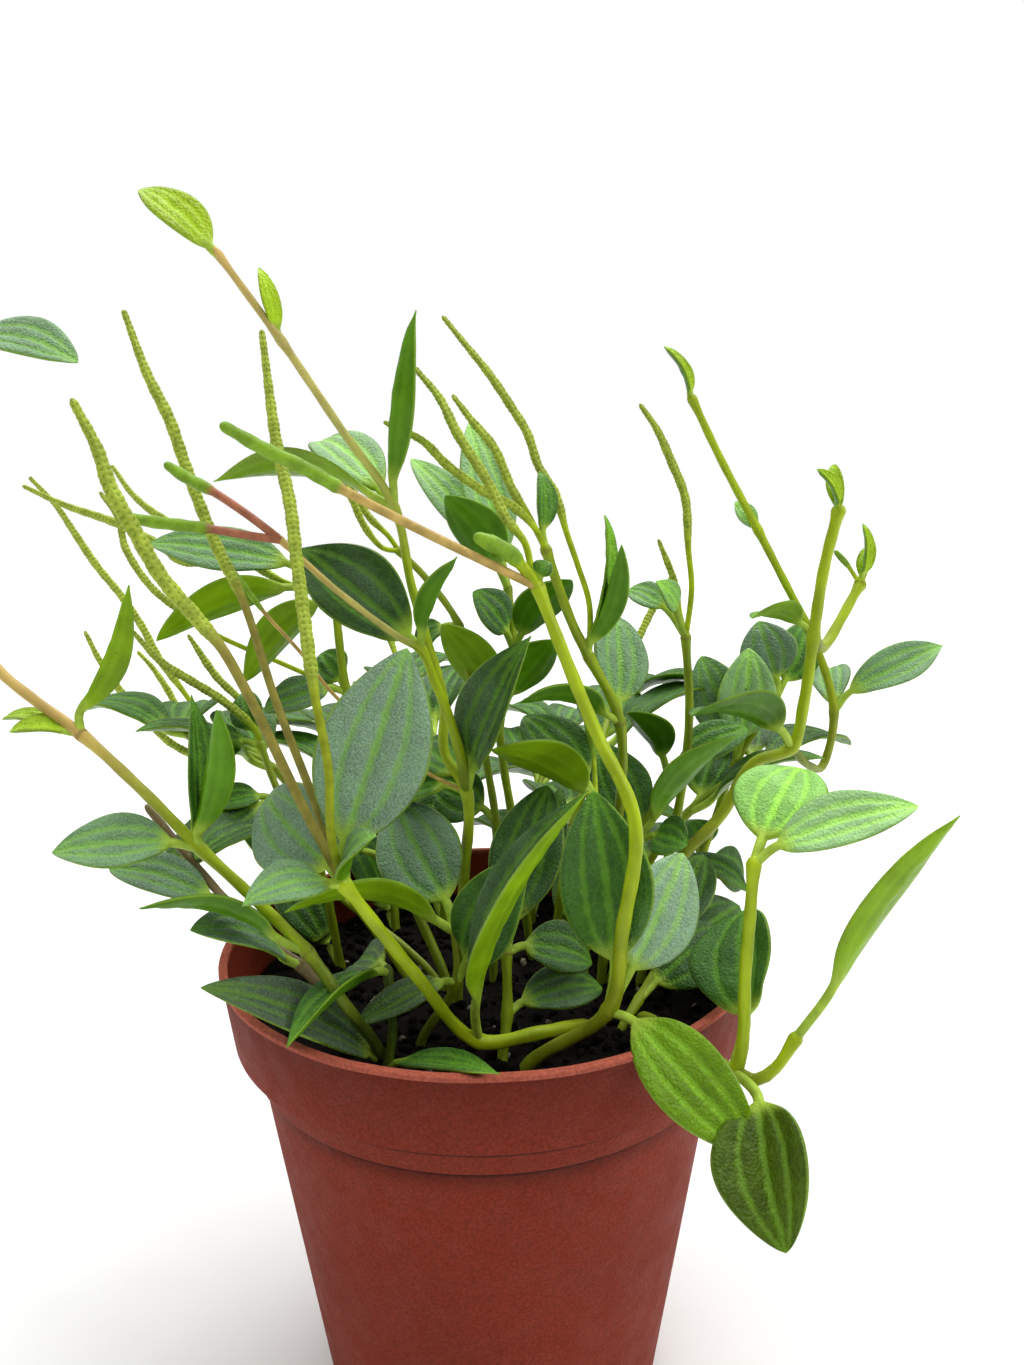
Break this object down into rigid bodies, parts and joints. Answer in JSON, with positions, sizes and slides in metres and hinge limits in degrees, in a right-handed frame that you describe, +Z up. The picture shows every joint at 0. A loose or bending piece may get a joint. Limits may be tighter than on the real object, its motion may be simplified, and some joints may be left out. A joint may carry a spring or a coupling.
{
  "type": "potted beetle peperomia",
  "caption": "Trailing houseplant with striped pointed leaves and thin flower spikes, growing in soil in a round tapered nursery pot with a stepped rim and drain holes.",
  "frame": {"origin": "centre of the flat underside of the pot", "axes": "+Z up along the pot's axis, -Y towards the side seen in the picture, +X to the viewer's right"},
  "size_m": [0.2084, 0.1529, 0.2283],
  "materials": {
    "pot": "matte, fine stipple",
    "soil": "damp, crumbly potting soil",
    "leafy_stem": "satin, leaves with pale stripes",
    "ripe_spike": "rough, rows of tiny florets",
    "young_spike": "smooth satin"
  },
  "bodies": {
    "root": {"pot": "pot", "soil": "soil", "spike_back_2_1": "ripe_spike", "spike_back_4_1": "ripe_spike", "spike_centre_1": "young_spike", "spike_centre_2": "young_spike", "spike_centre_3": "ripe_spike", "spike_centre_back_thin_1": "ripe_spike", "spike_centre_back_thin_2": "ripe_spike", "spike_centre_right_1": "ripe_spike", "spike_centre_right_2": "ripe_spike", "spike_centre_right_3": "ripe_spike", "spike_centre_right_b_1": "young_spike", "spike_front_left_1": "ripe_spike", "spike_front_left_2": "ripe_spike", "spike_front_left_3": "ripe_spike", "spike_front_right_1": "young_spike", "spike_front_right_2": "young_spike", "spike_front_right_3": "ripe_spike", "spike_left_back_a_1": "ripe_spike", "spike_left_back_a_2": "ripe_spike", "spike_left_back_b_1": "ripe_spike", "spike_left_back_b_2": "ripe_spike", "spike_left_back_b_3": "ripe_spike", "spike_left_long_1": "ripe_spike", "spike_left_mid_1": "ripe_spike", "spike_left_mid_2": "ripe_spike", "spike_left_mid_3": "ripe_spike", "spike_right_spike_1": "ripe_spike", "spike_right_spike_2": "ripe_spike", "spike_right_thick_1": "young_spike", "stem_back_1": "leafy_stem", "stem_back_2": "leafy_stem", "stem_back_3": "leafy_stem", "stem_back_4": "leafy_stem", "stem_back_5": "leafy_stem", "stem_back_6": "leafy_stem", "stem_centre": "leafy_stem", "stem_centre_back_a": "leafy_stem", "stem_centre_back_thin": "leafy_stem", "stem_centre_right": "leafy_stem", "stem_centre_right_b": "leafy_stem", "stem_front_centre": "leafy_stem", "stem_front_left": "leafy_stem", "stem_front_low": "leafy_stem", "stem_front_mid": "leafy_stem", "stem_front_right": "leafy_stem", "stem_left_back_a": "leafy_stem", "stem_left_back_b": "leafy_stem", "stem_left_long": "leafy_stem", "stem_left_mid": "leafy_stem", "stem_left_woody": "leafy_stem", "stem_right_back": "leafy_stem", "stem_right_low": "leafy_stem", "stem_right_mid": "leafy_stem", "stem_right_spike": "leafy_stem", "stem_right_thick": "leafy_stem", "stem_right_trail": "leafy_stem"}
  },
  "joints": []
}
